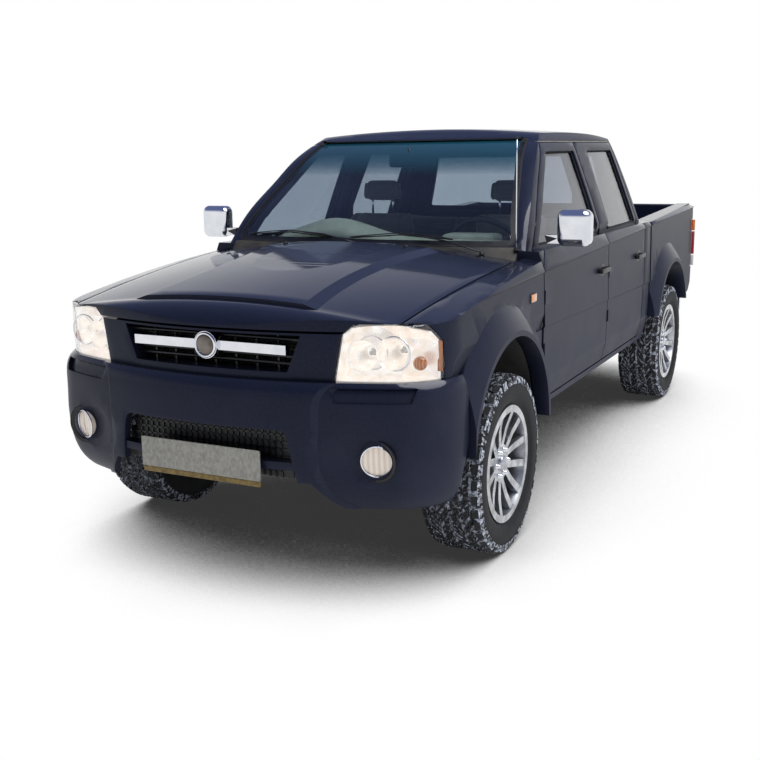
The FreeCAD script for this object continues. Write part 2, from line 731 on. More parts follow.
# Cab shell: pillars, sills and roof, with apertures behind the doors
frame_depth = PILLAR_THICKNESS + MOVING_GAP + INNER_FRAME_THICKNESS
door_pocket_depth = PILLAR_THICKNESS + MOVING_GAP
sill_pocket_depth = DOOR_THICKNESS + MOVING_GAP
sill_depth = sill_pocket_depth + INNER_FRAME_THICKNESS
cab_zone = block(-OUTER_X, OUTER_X, CAB_FRONT_STATION, CAB_REAR_STATION,
                 SILL_BOTTOM_HEIGHT, BELT_LINE)
upper_frame = wall(house, glasshouse(frame_depth)).common(above_belt)
upper_pocket = wall(house, glasshouse(door_pocket_depth)).common(above_belt)
lower_frame = wall(hull, body_sides(sill_depth)).common(cab_zone)
lower_pocket = wall(hull, body_sides(sill_pocket_depth)).common(below_belt)
pockets = upper_pocket.fuse(lower_pocket)
outlines = (FRONT_DOOR_OUTLINE, REAR_DOOR_OUTLINE)
door_pockets = [pockets.common(outline_prism(outline, PANEL_GAP, INNER_X, OUTER_X))
                for outline in outlines]
apertures = [outline_prism(outline, -APERTURE_BORDER, INNER_X, OUTER_X) for outline in outlines]
left_zone = block(INNER_X, OUTER_X, 0, OVERALL_LENGTH, UNDERSIDE_HEIGHT, ROOF_SPLIT_HEIGHT)
back_zone = front_prism(((-700.0, UNDERSIDE_HEIGHT), (700.0, UNDERSIDE_HEIGHT),
                         (700.0, BELT_LINE), (545.0, ROOF_SPLIT_HEIGHT),
                         (-545.0, ROOF_SPLIT_HEIGHT), (-700.0, BELT_LINE)),
                        BACK_GLASS_STATION, CAB_REAR_STATION + OVERRUN)
cab_frame = upper_frame.fuse(lower_frame)
side_frame = cab_frame.common(left_zone)
scuttle_low = GLASSHOUSE_LEVELS[0][0]
scuttle_room = block(-WINDSCREEN_FOOT_HALF_WIDTH, WINDSCREEN_FOOT_HALF_WIDTH, NOSE_STATION,
                     FIREWALL_STATION + SEAT_GAP, scuttle_low, WINDSCREEN_FOOT_HEIGHT)
side_frame = carved(side_frame, door_pockets + apertures + [windscreen_cut, back_zone, scuttle_room])
parts["cab_side_left"] = side_frame
parts["cab_side_right"] = mirrored(side_frame)

roof_zone = block(-OUTER_X, OUTER_X, 0, OVERALL_LENGTH, ROOF_SPLIT_HEIGHT, ROOF_HEIGHT + OVERRUN)
roof = wall(house, glasshouse(PILLAR_THICKNESS)).common(roof_zone).cut(windscreen_cut)
parts["roof_panel"] = largest(roof)

back_wall = wall(house, glasshouse(BACK_WALL_THICKNESS)).common(above_belt).common(left_zone.fuse(
    mirrored(left_zone)).fuse(block(-INNER_X, INNER_X, 0, OVERALL_LENGTH, UNDERSIDE_HEIGHT,
                                    ROOF_SPLIT_HEIGHT)))
back_wall = back_wall.common(back_zone).cut(back_window_cut)
back_wall = carved(back_wall, door_pockets + [mirrored(pocket) for pocket in door_pockets])
lower_back = block(-700.0, 700.0, CAB_REAR_STATION - BACK_WALL_THICKNESS, CAB_REAR_STATION,
                   FLOOR_HEIGHT, BELT_LINE)
parts["cab_back_panel"] = back_wall.fuse(lower_back).removeSplitter()

# Floor, tunnel, firewall and scuttle
TUNNEL_HALF_WIDTH = 150.0
TUNNEL_HEIGHT = 130.0
inner_half = BODY_HALF_WIDTH - sill_depth - SEAT_GAP - SILL_TUCK
floor_rear = CAB_REAR_STATION - BACK_WALL_THICKNESS
floor = block(-inner_half, inner_half, FIREWALL_STATION, floor_rear,
              FLOOR_HEIGHT - FLOOR_THICKNESS, FLOOR_HEIGHT)
tunnel = block(-TUNNEL_HALF_WIDTH, TUNNEL_HALF_WIDTH, FIREWALL_STATION, floor_rear,
               FLOOR_HEIGHT - FLOOR_THICKNESS, FLOOR_HEIGHT + TUNNEL_HEIGHT)
tunnel_bore = block(FLOOR_THICKNESS - TUNNEL_HALF_WIDTH, TUNNEL_HALF_WIDTH - FLOOR_THICKNESS,
                    FIREWALL_STATION - OVERRUN, floor_rear + OVERRUN,
                    FLOOR_HEIGHT - FLOOR_THICKNESS - OVERRUN, FLOOR_HEIGHT + TUNNEL_HEIGHT - FLOOR_THICKNESS)
parts["cab_floor"] = floor.fuse(tunnel).cut(tunnel_bore).removeSplitter()

FIREWALL_THICKNESS = 20.0
firewall = block(-inner_half, inner_half, FIREWALL_STATION - FIREWALL_THICKNESS, FIREWALL_STATION,
                 FLOOR_HEIGHT - FLOOR_THICKNESS, scuttle_low + FIREWALL_THICKNESS)
scuttle_zone = block(-WINDSCREEN_FOOT_HALF_WIDTH, WINDSCREEN_FOOT_HALF_WIDTH, NOSE_STATION,
                     FIREWALL_STATION, scuttle_low, WINDSCREEN_FOOT_HEIGHT - SEAT_GAP)
scuttle = wall(house, glasshouse(PILLAR_THICKNESS)).common(scuttle_zone)
shelf = house.common(scuttle_zone).common(block(-OUTER_X, OUTER_X, NOSE_STATION, FIREWALL_STATION,
                                                scuttle_low, scuttle_low + FIREWALL_THICKNESS))
parts["firewall"] = firewall.fuse(scuttle).fuse(shelf).removeSplitter()

# Bonnet, cowl and front fenders
front_hull = hull.common(bonnet_block(0))
bonnet_taper_share = (BONNET_HALF_WIDTH_REAR - BONNET_HALF_WIDTH_FRONT) / BONNET_REAR_STATION


def bonnet_plan(margin, rear):
    """The bonnet's upright plan shape, grown by a margin, on one taper for all that meets it."""
    front_half = BONNET_HALF_WIDTH_FRONT + margin
    rear_half = front_half + bonnet_taper_share * rear
    return plan_prism(((-front_half, 0), (front_half, 0), (rear_half, rear), (-rear_half, rear)),
                      LAMP_BOTTOM_HEIGHT, HULL_TOP_HEIGHT)


@lru_cache(maxsize=None)
def hull_skin(thickness):
    return front_hull.cut(body_sides(thickness).common(bonnet_block(thickness)))


above_grille = block(-OUTER_X, OUTER_X, 0, OVERALL_LENGTH, GRILLE_TOP_HEIGHT, HULL_TOP_HEIGHT)
lamp_gap_margin = PANEL_GAP / 2


def lamp_zone(margin, low):
    """The space of the left headlamp: its front outline crossed with its side outline."""
    top = LAMP_TOP_HEIGHT + margin
    front = ((LAMP_INNER - margin, low), (OUTER_X, low), (OUTER_X, top), (LAMP_TOP_INNER - margin / 2, top),
             (LAMP_SHOULDER_INNER - margin, LAMP_SHOULDER_HEIGHT + margin / 2))
    side = ((0, low), (LAMP_REAR_STATION + margin, low), (LAMP_REAR_STATION + margin - LAMP_TAIL_LEAN, LAMP_TAIL_HEIGHT),
            (LAMP_TOP_REAR_STATION + margin / 2, top), (0, top))
    return front_prism(front, 0, LAMP_REAR_STATION + OVERRUN).common(side_prism(side, 0, OUTER_X))


lamp_gap = lamp_zone(lamp_gap_margin, BUMPER_TOP_HEIGHT)
bonnet = hull_skin(BONNET_THICKNESS).common(bonnet_plan(0, BONNET_REAR_STATION))


def rise_section(station, half_width, height):
    """A low trapezoid across the bonnet, its slopes crossing a height at a half width."""
    spread = OVERRUN / BONNET_RISE_SLOPE_SHARE
    low, high = height - OVERRUN, height + OVERRUN
    corners = ((-half_width - spread, low), (half_width + spread, low),
               (half_width - spread, high), (spread - half_width, high))
    return Part.makePolygon([at(x, station, z) for x, z in corners + corners[:1]])


def crown_drop(x):
    return BONNET_CROWN_RADIUS - math.sqrt(BONNET_CROWN_RADIUS ** 2 - x ** 2)


rise_front_height = BONNET_NOSE_HEIGHT - crown_drop(BONNET_RISE_FRONT_HALF_WIDTH) + BONNET_RISE / 2
rise_rear_height = COWL_HEIGHT - crown_drop(BONNET_RISE_REAR_HALF_WIDTH) + BONNET_RISE / 2
rise_zone = Part.makeLoft([rise_section(BONNET_NOSE_STATION, BONNET_RISE_FRONT_HALF_WIDTH, rise_front_height),
                           rise_section(COWL_STATION, BONNET_RISE_REAR_HALF_WIDTH, rise_rear_height)], True, True)
rise_zone = rise_zone.common(block(-OUTER_X, OUTER_X, 0, BONNET_RISE_REAR_STATION, 0, ROOF_HEIGHT))
raised_middle = bonnet_block(-BONNET_RISE).cut(bonnet_block(BONNET_THICKNESS / 2)).common(rise_zone).common(hull)
bonnet = bonnet.fuse(raised_middle).common(above_grille).cut(lamp_gap).cut(mirrored(lamp_gap))
parts["bonnet"] = largest(bonnet.removeSplitter())

cowl_skin = hull.common(bonnet_block(COWL_RECESS)).cut(bonnet_block(COWL_RECESS + FENDER_THICKNESS))
cowl = cowl_skin.common(bonnet_plan(0, CAB_FRONT_STATION - SEAT_GAP))
cowl = cowl.common(above_grille).cut(block(-OUTER_X, OUTER_X, 0, BONNET_REAR_STATION + PANEL_GAP,
                                           UNDERSIDE_HEIGHT, HULL_TOP_HEIGHT)).cut(house)
parts["cowl"] = cowl


def ring(radius, station, height, x_from, x_to):
    return drum(x_from, x_to, station, height, radius)


def flare(station):
    """The swelling around a wheel arch, turned about the arch's centre."""
    lip = FLARE_HALF_WIDTH
    root = BODY_HALF_WIDTH - FLARE_LIP
    inner = ARCH_RADIUS
    points = [at(root, station, ARCH_CENTRE_HEIGHT + inner),
              at(lip, station, ARCH_CENTRE_HEIGHT + inner),
              at(lip, station, ARCH_CENTRE_HEIGHT + inner + FLARE_LIP),
              at(BODY_HALF_WIDTH - SHOULDER_TUCK, station, ARCH_CENTRE_HEIGHT + FLARE_RADIUS),
              at(root, station, ARCH_CENTRE_HEIGHT + FLARE_RADIUS)]
    middle = at(FLARE_BULGE_HALF_WIDTH, station, ARCH_CENTRE_HEIGHT + FLARE_BULGE_RADIUS)
    edges = [line(points[0], points[1]), line(points[1], points[2]),
             arc(points[2], middle, points[3]), line(points[3], points[4]),
             line(points[4], points[0])]
    face = Part.Face(Part.Wire(edges))
    return face.revolve(at(0, station, ARCH_CENTRE_HEIGHT), ACROSS, FULL_TURN)


def arch_cut(station, depth_x):
    """The open space of a wheel arch, from the outside inwards."""
    def rim_point(along, z):
        return at(depth_x, station + along, z)

    low = UNDERSIDE_HEIGHT - OVERRUN
    foot_rear = rim_point(ARCH_RADIUS, ARCH_CENTRE_HEIGHT)
    foot_front = rim_point(-ARCH_RADIUS, ARCH_CENTRE_HEIGHT)
    crown = rim_point(0, ARCH_CENTRE_HEIGHT + ARCH_RADIUS)
    edges = [arc(foot_front, crown, foot_rear), line(foot_rear, rim_point(ARCH_RADIUS, low)),
             line(rim_point(ARCH_RADIUS, low), rim_point(-ARCH_RADIUS, low)),
             line(rim_point(-ARCH_RADIUS, low), foot_front)]
    return Part.Face(Part.Wire(edges)).extrude(Vector(OUTER_X - depth_x, 0, 0))


BUMPER_REAR_STATION = 424.0
bumper_side = block(0, OUTER_X, 0, BUMPER_REAR_STATION + PANEL_GAP / 2,
                    UNDERSIDE_HEIGHT - OVERRUN, BUMPER_TOP_HEIGHT)


def grille_zone(margin, low, top):
    """The space between the headlamps, its ends leaning like the lamps' inner edges."""
    foot = LAMP_INNER - PANEL_GAP + margin
    head = LAMP_SHOULDER_INNER - PANEL_GAP + margin
    lean_share = (head - foot) / (LAMP_SHOULDER_HEIGHT - LAMP_BOTTOM_HEIGHT)
    low_half = foot + lean_share * (low - LAMP_BOTTOM_HEIGHT)
    top_half = foot + lean_share * (top - LAMP_BOTTOM_HEIGHT)
    return front_prism(((-low_half, low), (low_half, low), (top_half, top), (-top_half, top)), 0, FRONT_AXLE)


grille_gap = grille_zone(lamp_gap_margin, UNDERSIDE_HEIGHT, LAMP_TOP_HEIGHT + lamp_gap_margin)
fender_zone = block(INNER_X, OUTER_X, 0, CAB_FRONT_STATION - PANEL_GAP / 2,
                    SILL_BOTTOM_HEIGHT, HULL_TOP_HEIGHT)
fender = hull_skin(FENDER_THICKNESS).common(fender_zone)
fender = fender.fuse(flare(FRONT_AXLE).common(fender_zone))
fender_cuts = [arch_cut(FRONT_AXLE, INNER_X), bonnet_plan(PANEL_GAP, CAB_FRONT_STATION + PANEL_GAP),
               bumper_side, lamp_gap, grille_gap, house]
fender = carved(fender, fender_cuts).removeSplitter()
parts["front_fenders"] = joined([fender, mirrored(fender)])

# Front bumper, hollow behind its skin
BUMPER_LEVELS = (
    (BUMPER_BOTTOM_HEIGHT, 74.0, 46.0),
    (400.0, 30.0, 20.0),
    (480.0, 6.0, 6.0),
    (600.0, 0.0, 0.0),
    (720.0, 3.0, 2.0),
    (780.0, 16.0, 10.0),
    (BUMPER_TOP_HEIGHT, 40.0, 26.0),
)


@lru_cache(maxsize=None)
def bumper_shape(inset, setback):
    wires = []
    for height, nose, tuck in BUMPER_LEVELS:
        wires.append(plan_wire(height, 0, nose + inset + setback, BUMPER_PLAN_RADIUS,
                               BUMPER_HALF_WIDTH - tuck - inset, BUMPER_CORNER_RADIUS,
                               BUMPER_REAR_STATION + OVERRUN))
    return Part.makeLoft(wires, True, False)


step_reach = BUMPER_REAR_STATION - BUMPER_STEP_STATION
step_front_half = BUMPER_STEP_HALF_WIDTH - BUMPER_STEP_SPREAD_SHARE * (BUMPER_STEP_STATION + OVERRUN)
step_rear_half = BUMPER_STEP_HALF_WIDTH + BUMPER_STEP_SPREAD_SHARE * step_reach
centre_zone = plan_prism(((-step_front_half, -OVERRUN), (step_front_half, -OVERRUN),
                          (step_rear_half, BUMPER_REAR_STATION), (-step_rear_half, BUMPER_REAR_STATION)),
                         BUMPER_BOTTOM_HEIGHT - OVERRUN, BUMPER_TOP_HEIGHT + OVERRUN)


@lru_cache(maxsize=None)
def bumper_body(inset):
    """The bumper's whole form, its middle standing forward of the two ends."""
    return bumper_shape(inset, BUMPER_END_SETBACK).fuse(bumper_shape(inset, 0).common(centre_zone))


bumper_zone = block(-OUTER_X, OUTER_X, 0, BUMPER_REAR_STATION, UNDERSIDE_HEIGHT, BUMPER_TOP_HEIGHT)
bumper_solid = bumper_body(0)
bumper = bumper_solid.cut(bumper_shape(BUMPER_WALL, BUMPER_END_SETBACK))
bumper = bumper.cut(bumper_shape(BUMPER_WALL, 0).common(centre_zone)).common(bumper_zone)
BUMPER_CENTRE_BOTTOM_HEIGHT = 450.0
underside_cut = front_prism(((-560.0, UNDERSIDE_HEIGHT), (560.0, UNDERSIDE_HEIGHT),
                             (430.0, BUMPER_CENTRE_BOTTOM_HEIGHT), (-430.0, BUMPER_CENTRE_BOTTOM_HEIGHT)),
                            0, FRONT_AXLE)
intake_low = BUMPER_CENTRE_BOTTOM_HEIGHT - OVERRUN
intake = front_prism(((-INTAKE_HALF_WIDTH_BOTTOM, intake_low), (INTAKE_HALF_WIDTH_BOTTOM, intake_low),
                      (INTAKE_HALF_WIDTH_TOP, INTAKE_TOP_HEIGHT),
                      (-INTAKE_HALF_WIDTH_TOP, INTAKE_TOP_HEIGHT)), -OVERRUN, FRONT_AXLE)
intake = rounded(intake, INTAKE_CORNER_RADIUS, lambda edge: runs_along(edge, ALONG))
shelf_cover = bumper_solid.common(block(-OUTER_X, OUTER_X, 0, LAMP_REAR_STATION - 20.0,
                                        BUMPER_TOP_HEIGHT - BUMPER_WALL, BUMPER_TOP_HEIGHT))
bumper = bumper.fuse(shelf_cover)
wheel_room = drum(-OUTER_X, OUTER_X, FRONT_AXLE, WHEEL_CENTRE_HEIGHT, TYRE_RADIUS + 110.0)
fog_places = [side * FOG_LAMP_PLACE for side in SIDES]


def nose_tube(x, height, radius, station_to):
    return Part.makeCylinder(radius, station_to + OVERRUN, at(x, -OVERRUN, height), ALONG)




def fog_bezel(x):
    """A shallow cone of a recess around a fog lamp."""
    slope_share = (FOG_BEZEL_RADIUS - FOG_BEZEL_FLOOR_RADIUS) / FOG_BEZEL_DEPTH
    skin = FOG_LAMP_STATION
    mouth_radius = FOG_BEZEL_RADIUS + slope_share * (skin - FOG_BEZEL_DEPTH)
    return Part.makeCone(mouth_radius, FOG_BEZEL_FLOOR_RADIUS, skin, at(x, 0, FOG_LAMP_HEIGHT), ALONG)


slot_front = ((LAMP_SLOT_INNER + LAMP_SLOT_LEAN, LAMP_SLOT_BOTTOM_HEIGHT),
              (LAMP_SLOT_OUTER - LAMP_SLOT_LEAN / 2, LAMP_SLOT_BOTTOM_HEIGHT),
              (LAMP_SLOT_OUTER, LAMP_SLOT_TOP_HEIGHT), (LAMP_SLOT_INNER, LAMP_SLOT_TOP_HEIGHT))
lamp_slot = front_prism(slot_front, 0, LAMP_REAR_STATION).cut(bumper_body(LAMP_SLOT_DEPTH))
bumper_cuts = [underside_cut, intake, wheel_room, lamp_slot, mirrored(lamp_slot)]
bumper_cuts += [fog_bezel(x) for x in fog_places]
bumper_cuts += [nose_tube(x, FOG_LAMP_HEIGHT, FOG_LAMP_RADIUS + PIVOT_GAP, FRONT_AXLE) for x in fog_places]
bumper = carved(bumper, bumper_cuts)
plate_bar = block(-INTAKE_HALF_WIDTH_BOTTOM, INTAKE_HALF_WIDTH_BOTTOM, PLATE_STATION + PLATE_THICKNESS + SEAT_GAP,
                  PLATE_STATION + PLATE_THICKNESS + PLATE_BAR_DEPTH,
                  PLATE_CENTRE_HEIGHT - PLATE_BAR_HEIGHT / 2, PLATE_CENTRE_HEIGHT + PLATE_BAR_HEIGHT / 2)
plate_bar = plate_bar.common(bumper_body(PLATE_STATION + PLATE_THICKNESS))
parts["front_bumper"] = bumper.fuse(plate_bar).removeSplitter()

fog_lamps = []
for x in fog_places:
    tube = nose_tube(x, FOG_LAMP_HEIGHT, FOG_LAMP_RADIUS, FOG_LAMP_REAR_STATION)
    fog_lamps.append(tube.common(bumper_body(FOG_LAMP_RECESS)).cut(bumper_body(FOG_LAMP_RECESS + FOG_LAMP_DEPTH)))
parts["fog_lamps"] = joined(fog_lamps)

plate = block(-PLATE_WIDTH / 2, PLATE_WIDTH / 2, PLATE_STATION, PLATE_STATION + PLATE_THICKNESS,
              PLATE_CENTRE_HEIGHT - PLATE_HEIGHT / 2, PLATE_CENTRE_HEIGHT + PLATE_HEIGHT / 2)
parts["front_plate"] = plate

# Grille frame with its opening, the bright bar and the bare ring
grille_opening = front_prism(((-GRILLE_OPENING_HALF_WIDTH_BOTTOM, GRILLE_OPENING_BOTTOM_HEIGHT),
                              (GRILLE_OPENING_HALF_WIDTH_BOTTOM, GRILLE_OPENING_BOTTOM_HEIGHT),
                              (GRILLE_OPENING_HALF_WIDTH_TOP, GRILLE_OPENING_TOP_HEIGHT),
                              (-GRILLE_OPENING_HALF_WIDTH_TOP, GRILLE_OPENING_TOP_HEIGHT)),
                             0, FRONT_AXLE)
grille_space = grille_zone(0, BUMPER_TOP_HEIGHT + SEAT_GAP, GRILLE_TOP_HEIGHT - PANEL_GAP)
grille = hull_skin(GRILLE_DEPTH).common(grille_space).cut(grille_opening)
parts["grille"] = largest(grille.removeSplitter())


def slat(height):
    """One blade of the grille: a long bar with a round nose and a tapered tail."""
    half = SLAT_HEIGHT / 2
    nose = SLAT_STATION
    tail = SLAT_STATION + SLAT_DEPTH
    edges = [arc(at(-OUTER_X, nose + half, height + half), at(-OUTER_X, nose, height),
                 at(-OUTER_X, nose + half, height - half)),
             line(at(-OUTER_X, nose + half, height - half), at(-OUTER_X, tail, height - half / 2)),
             line(at(-OUTER_X, tail, height - half / 2), at(-OUTER_X, tail, height + half / 2)),
             line(at(-OUTER_X, tail, height + half / 2), at(-OUTER_X, nose + half, height + half))]
    return Part.Face(Part.Wire(edges)).extrude(Vector(2 * OUTER_X, 0, 0))


slat_room = front_prism(((-GRILLE_OPENING_HALF_WIDTH_BOTTOM + SEAT_GAP, GRILLE_OPENING_BOTTOM_HEIGHT + SEAT_GAP),
                         (GRILLE_OPENING_HALF_WIDTH_BOTTOM - SEAT_GAP, GRILLE_OPENING_BOTTOM_HEIGHT + SEAT_GAP),
                         (GRILLE_OPENING_HALF_WIDTH_TOP - SEAT_GAP, GRILLE_OPENING_TOP_HEIGHT - SEAT_GAP),
                         (SEAT_GAP - GRILLE_OPENING_HALF_WIDTH_TOP, GRILLE_OPENING_TOP_HEIGHT - SEAT_GAP)),
                        0, FRONT_AXLE)
slats = slat(SLAT_HEIGHTS[0])
for height in SLAT_HEIGHTS[1:]:
    slats = slats.fuse(slat(height))
for index in range(SLAT_RIB_COUNT):
    place = (index - (SLAT_RIB_COUNT - 1) / 2) * SLAT_RIB_PITCH
    rib = block(place - SLAT_RIB_WIDTH / 2, place + SLAT_RIB_WIDTH / 2, SLAT_STATION + SLAT_HEIGHT,
                SLAT_STATION + SLAT_DEPTH, GRILLE_OPENING_BOTTOM_HEIGHT, GRILLE_OPENING_TOP_HEIGHT)
    slats = slats.fuse(rib)
parts["grille_slats"] = largest(slats.common(slat_room).removeSplitter())

BAR_DEPTH = 26.0
BAR_STATION = 86.0
bar = block(-GRILLE_OPENING_HALF_WIDTH_BOTTOM, GRILLE_OPENING_HALF_WIDTH_BOTTOM, BAR_STATION,
            BAR_STATION + BAR_DEPTH, BAR_CENTRE_HEIGHT - BAR_HEIGHT / 2, BAR_CENTRE_HEIGHT + BAR_HEIGHT / 2)
emblem = Part.makeCylinder(EMBLEM_RADIUS, BAR_DEPTH + EMBLEM_PROUD, at(0, BAR_STATION - EMBLEM_PROUD, BAR_CENTRE_HEIGHT),
                           ALONG)
parts["grille_bar"] = bar.fuse(emblem).removeSplitter()

# Headlamps: a clear cover on the body's skin with a deep housing behind
lens = largest(hull_skin(LENS_THICKNESS).common(lamp_zone(0, LAMP_BOTTOM_HEIGHT)))
cover_back = LENS_THICKNESS + SEAT_GAP
housing_low = BUMPER_TOP_HEIGHT + SEAT_GAP
housing = front_hull.cut(body_sides(LAMP_DEPTH)).common(lamp_zone(0, housing_low))
cavity = body_sides(0).cut(body_sides(LAMP_DEPTH - HOUSING_WALL))
cavity = cavity.common(lamp_zone(-HOUSING_WALL, LAMP_BOTTOM_HEIGHT))
housing = housing.common(body_sides(cover_back)).common(bonnet_block(BONNET_THICKNESS)).cut(cavity)


def reflector_bowl(x, height):
    """A thin round reflector that stands on the housing's back wall."""
    mouth = NOSE_STATION + NOSE_PLAN_RADIUS - math.sqrt(NOSE_PLAN_RADIUS ** 2 - x ** 2)
    outside = Part.makeCone(LAMP_BOWL_RADIUS, LAMP_BOWL_FLOOR_RADIUS, LAMP_DEPTH, at(x, mouth, height), ALONG)
    inside = Part.makeCone(LAMP_BOWL_RADIUS - LAMP_BOWL_WALL, LAMP_BOWL_FLOOR_RADIUS - LAMP_BOWL_WALL, LAMP_DEPTH,
                           at(x, mouth, height), ALONG)
    room = body_sides(cover_back + LAMP_BOWL_WALL).common(bonnet_block(BONNET_THICKNESS))
    return outside.cut(inside).common(room).common(lamp_zone(0, housing_low))


for place, height in ((MAIN_BOWL_PLACE, MAIN_BOWL_HEIGHT), (DIP_BOWL_PLACE, DIP_BOWL_HEIGHT)):
    housing = housing.fuse(reflector_bowl(place, height))
housing = largest(housing.removeSplitter())
parts["headlamp_lenses"] = joined([lens, mirrored(lens)])
parts["headlamp_housings"] = joined([housing, mirrored(housing)])

# Wheelhouses, engine bay front and engine
apron_foot = RAIL_FRONT_HEIGHT + RAIL_HEIGHT
liner_top = 1000.0


def wheelhouse(station, x_from, x_to, low):
    radius = ARCH_RADIUS + LINER_THICKNESS
    shell = drum(x_from, x_to, station, ARCH_CENTRE_HEIGHT, radius)
    shell = shell.cut(drum(x_from - OVERRUN, x_to + OVERRUN, station, ARCH_CENTRE_HEIGHT, ARCH_RADIUS))
    return shell.common(block(x_from, x_to, station - radius, station + radius, low,
                              ARCH_CENTRE_HEIGHT + radius))


skin_inner = BODY_HALF_WIDTH - FENDER_THICKNESS - 14.0
apron = block(APRON_HALF_WIDTH - LINER_THICKNESS, APRON_HALF_WIDTH, LAMP_REAR_STATION + 20.0,
              FIREWALL_STATION - FIREWALL_THICKNESS, apron_foot, liner_top)
front_house = apron.fuse(wheelhouse(FRONT_AXLE, APRON_HALF_WIDTH, skin_inner, apron_foot))
parts["wheelhouses"] = joined([front_house, mirrored(front_house)])

radiator_station = LAMP_REAR_STATION - 10.0
radiator = block(LINER_THICKNESS - APRON_HALF_WIDTH, APRON_HALF_WIDTH - LINER_THICKNESS,
                 radiator_station, radiator_station + 50.0, RAIL_FRONT_HEIGHT + RAIL_HEIGHT, liner_top - 60.0)
parts["radiator"] = radiator
parts["engine_block"] = block(-ENGINE_HALF_WIDTH, ENGINE_HALF_WIDTH, ENGINE_FRONT_STATION,
                              ENGINE_REAR_STATION, ENGINE_BOTTOM_HEIGHT, ENGINE_TOP_HEIGHT)

# Frame rails and cross-members
rail_line = ((150.0, RAIL_FRONT_HEIGHT), (1180.0, RAIL_FRONT_HEIGHT), (1325.0, RAIL_MIDDLE_HEIGHT),
             (3300.0, RAIL_MIDDLE_HEIGHT), (3560.0, RAIL_REAR_HEIGHT), (4670.0, RAIL_REAR_HEIGHT))
rail_outline = rail_line + tuple((s, z + RAIL_HEIGHT) for s, z in reversed(rail_line))
rail = side_prism(rail_outline, RAIL_CENTRE - RAIL_WIDTH / 2, RAIL_CENTRE + RAIL_WIDTH / 2)
frame = rail.fuse(mirrored(rail))
rail_inner = RAIL_CENTRE - RAIL_WIDTH / 2
for station, z in ((170.0, RAIL_FRONT_HEIGHT), (1320.0, RAIL_MIDDLE_HEIGHT), (2250.0, RAIL_MIDDLE_HEIGHT),
                   (3180.0, RAIL_MIDDLE_HEIGHT), (4250.0, RAIL_REAR_HEIGHT), (4590.0, RAIL_REAR_HEIGHT)):
    frame = frame.fuse(block(-rail_inner, rail_inner, station, station + CROSSMEMBER_WIDTH,
                             z + 20.0, z + RAIL_HEIGHT - 20.0))
parts["chassis_frame"] = frame.removeSplitter()


# Load bed
def is_rail_edge(box):
    """True for the outer top edge of a bed side, which runs the bed's whole length."""
    half_length = (BED_REAR_STATION - CAB_REAR_STATION) / 2
    return box.XMin > bed_inner_wall + OVERRUN / 2 and box.ZMin > BED_RAIL_HEIGHT - SEAT_GAP and box.YLength > half_length


bed_front = CAB_REAR_STATION + CAB_BED_GAP
bed_inner_wall = BODY_HALF_WIDTH - BELT_TUCK - BED_SIDE_THICKNESS
bed_outline = ((bed_front, BED_SKIRT_HEIGHT), (BED_REAR_STATION - BED_TAIL_ROUNDING, BED_SKIRT_HEIGHT),
               (BED_REAR_STATION, BED_SKIRT_HEIGHT + BED_TAIL_ROUNDING),
               (BED_REAR_STATION, BED_RAIL_REAR_HEIGHT), (bed_front, BED_RAIL_HEIGHT))
bed_zone = side_prism(bed_outline, bed_inner_wall, OUTER_X)
bed_side = rounded(hull.common(bed_zone), BED_RAIL_ROUNDING, lambda edge: is_rail_edge(edge.BoundBox))
bed_side = bed_side.fuse(flare(REAR_AXLE).common(bed_zone)).cut(arch_cut(REAR_AXLE, INNER_X))
TRUNNION_RADIUS = 9.0
TRUNNION_LENGTH = 22.0
gate_low = BED_FLOOR_HEIGHT - BED_FLOOR_THICKNESS + 4.0
gate_axis = (BED_REAR_STATION - TAILGATE_THICKNESS / 2, gate_low + TAILGATE_AXIS_DROP)
bed_side = bed_side.cut(drum(bed_inner_wall - OVERRUN, bed_inner_wall + TRUNNION_LENGTH + SEAT_GAP, *gate_axis,
                             TRUNNION_RADIUS + PIVOT_GAP))
lamp_height = 760.0
tail_zone = block(BODY_HALF_WIDTH - TAIL_LAMP_WIDTH, OUTER_X, BED_REAR_STATION - 40.0, BED_REAR_STATION,
                  lamp_height, lamp_height + TAIL_LAMP_HEIGHT)
tail_lamp = bed_side.common(tail_zone)
bed_side = bed_side.cut(tail_zone).removeSplitter()
parts["bed_sides"] = joined([bed_side, mirrored(bed_side)])
parts["tail_lamps"] = joined([tail_lamp, mirrored(tail_lamp)])

bed_inner = bed_inner_wall - SEAT_GAP
bed_floor = block(-bed_inner, bed_inner, bed_front, BED_REAR_STATION - TAILGATE_THICKNESS - 1.5 * PANEL_GAP,
                  BED_FLOOR_HEIGHT - BED_FLOOR_THICKNESS, BED_FLOOR_HEIGHT)
headboard = block(-bed_inner, bed_inner, bed_front, bed_front + BED_FLOOR_THICKNESS,
                  BED_FLOOR_HEIGHT, BED_RAIL_HEIGHT - HEADBOARD_DROP)
for index in range(BED_RIB_COUNT):
    place = (index - (BED_RIB_COUNT - 1) / 2) * BED_RIB_PITCH
    bed_floor = bed_floor.fuse(block(place - BED_RIB_WIDTH / 2, place + BED_RIB_WIDTH / 2, bed_front,
                                     BED_REAR_STATION - TAILGATE_THICKNESS - 2 * PANEL_GAP,
                                     BED_FLOOR_HEIGHT, BED_FLOOR_HEIGHT + BED_RIB_HEIGHT))
tub_radius = ARCH_RADIUS + LINER_THICKNESS
tub = drum(TUB_HALF_WIDTH, bed_inner, REAR_AXLE, ARCH_CENTRE_HEIGHT, tub_radius)
tub = tub.common(block(TUB_HALF_WIDTH, bed_inner, bed_front, OVERALL_LENGTH,
                       BED_FLOOR_HEIGHT - BED_FLOOR_THICKNESS, OVERALL_LENGTH))
